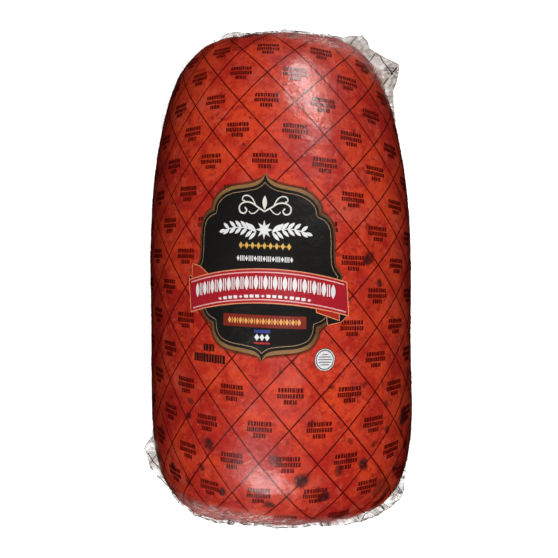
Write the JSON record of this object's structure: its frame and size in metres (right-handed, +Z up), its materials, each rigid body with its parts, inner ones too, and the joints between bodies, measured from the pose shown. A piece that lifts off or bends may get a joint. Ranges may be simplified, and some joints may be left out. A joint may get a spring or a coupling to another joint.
{
  "type": "vacuum packed smoked ham",
  "caption": "Whole smoked ham, a round log with blunt ends, shrunk tight into clear film with a dark printed net, a black label and a red band, and thin seal tails at both ends.",
  "frame": {"origin": "middle of the flat underside that the ham rests on, below the middle of the log's length", "axes": "+Z up, out of the printed front; +Y along the log to its head end, the end past the top of the label; +X to the right of the label"},
  "size_m": [0.1731, 0.3252, 0.1554],
  "materials": {
    "bag_film": "clear glossy shrink film, tight on the smoked meat that gives it its colour",
    "smoked_meat": "moist smoked and browned ham surface, orange red to dark brown",
    "dark_ink": "near-black ink printed under the film",
    "gold_ink": "tan gold ink",
    "red_ink": "bright red ink",
    "pale_ink": "white and cream ink"
  },
  "bodies": {
    "root": {"ham_pack": "bag_film"}
  },
  "joints": []
}
